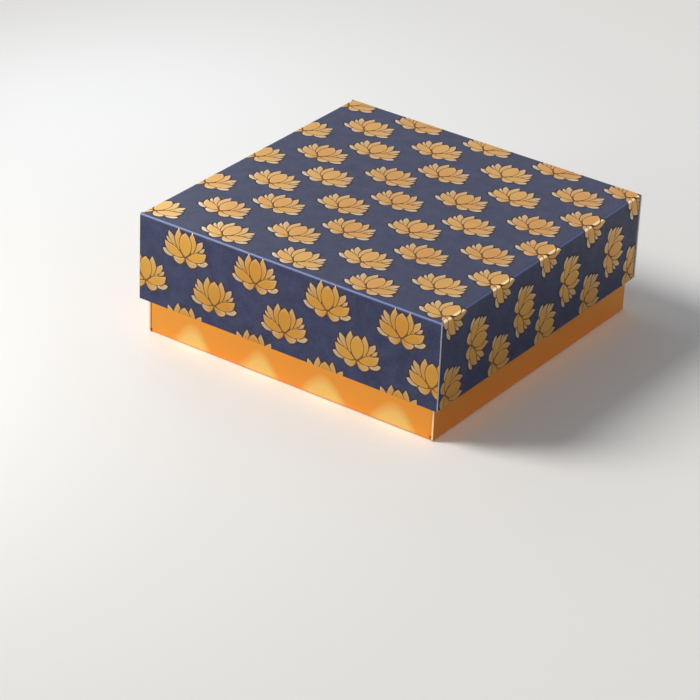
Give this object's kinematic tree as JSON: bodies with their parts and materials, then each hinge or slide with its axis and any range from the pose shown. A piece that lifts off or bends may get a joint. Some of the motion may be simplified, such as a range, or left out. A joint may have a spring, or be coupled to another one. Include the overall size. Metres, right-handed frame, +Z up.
{
  "type": "sweet box",
  "caption": "Square folded-board sweet box: an open tray with a deep lift-off lid that slides down over it, the lid printed with a repeat of foil lotus flowers.",
  "frame": {"origin": "middle of the underside of the tray, on the surface the box stands on", "axes": "+Z up, the way the lid lifts off; -Y the front wall; +X the right wall; the flowers on the lid stand upright towards +Y"},
  "size_m": [0.1522, 0.1522, 0.0561],
  "materials": {
    "metallised_board": "gold metallised paper laminated on white board, satin",
    "printed_board": "dark blue print on white board, soft satin with a fine fibre grain",
    "stamped_foil": "hot-stamped gold foil, metallic"
  },
  "bodies": {
    "tray": {"base_tray": "metallised_board"},
    "lid": {"lid": "printed_board", "lotus_foil": "stamped_foil"}
  },
  "joints": [
    {"name": "lid_lift", "type": "slide", "parent": "tray", "child": "lid", "axis": [0, 0, 1], "range_m": [0, 0.05]}
  ]
}
